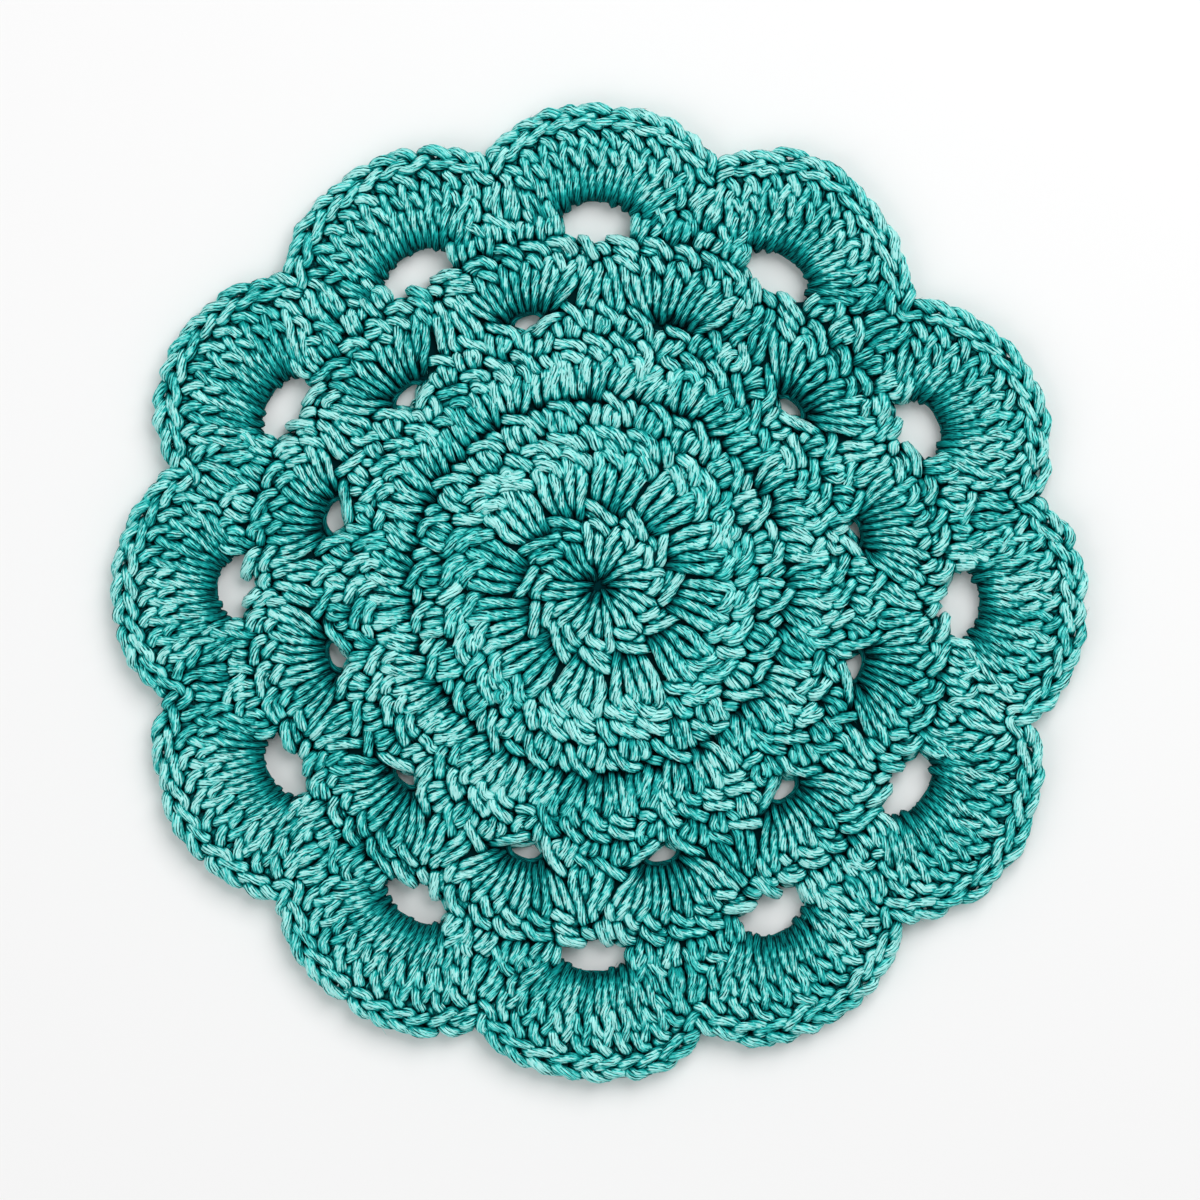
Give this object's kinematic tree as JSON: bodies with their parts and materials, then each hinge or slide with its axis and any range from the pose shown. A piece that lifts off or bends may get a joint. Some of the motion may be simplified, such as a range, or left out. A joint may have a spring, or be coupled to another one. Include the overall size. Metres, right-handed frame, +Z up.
{
  "type": "lace doily",
  "caption": "Round crocheted lace mat with a scalloped edge, fans of tall stitches in rounds and lens-shaped gaps, lying flat.",
  "frame": {"origin": "middle of the outline, on the underside that rests on the table", "axes": "+Z is up, away from the table, with the right side of the stitches facing it; +X runs to the right of the picture and +Y to its top"},
  "size_m": [0.1988, 0.1991, 0.0047],
  "materials": {
    "yarn": "soft twisted cotton, teal, slight silky sheen"
  },
  "bodies": {
    "root": {"doily": "yarn"}
  },
  "joints": []
}
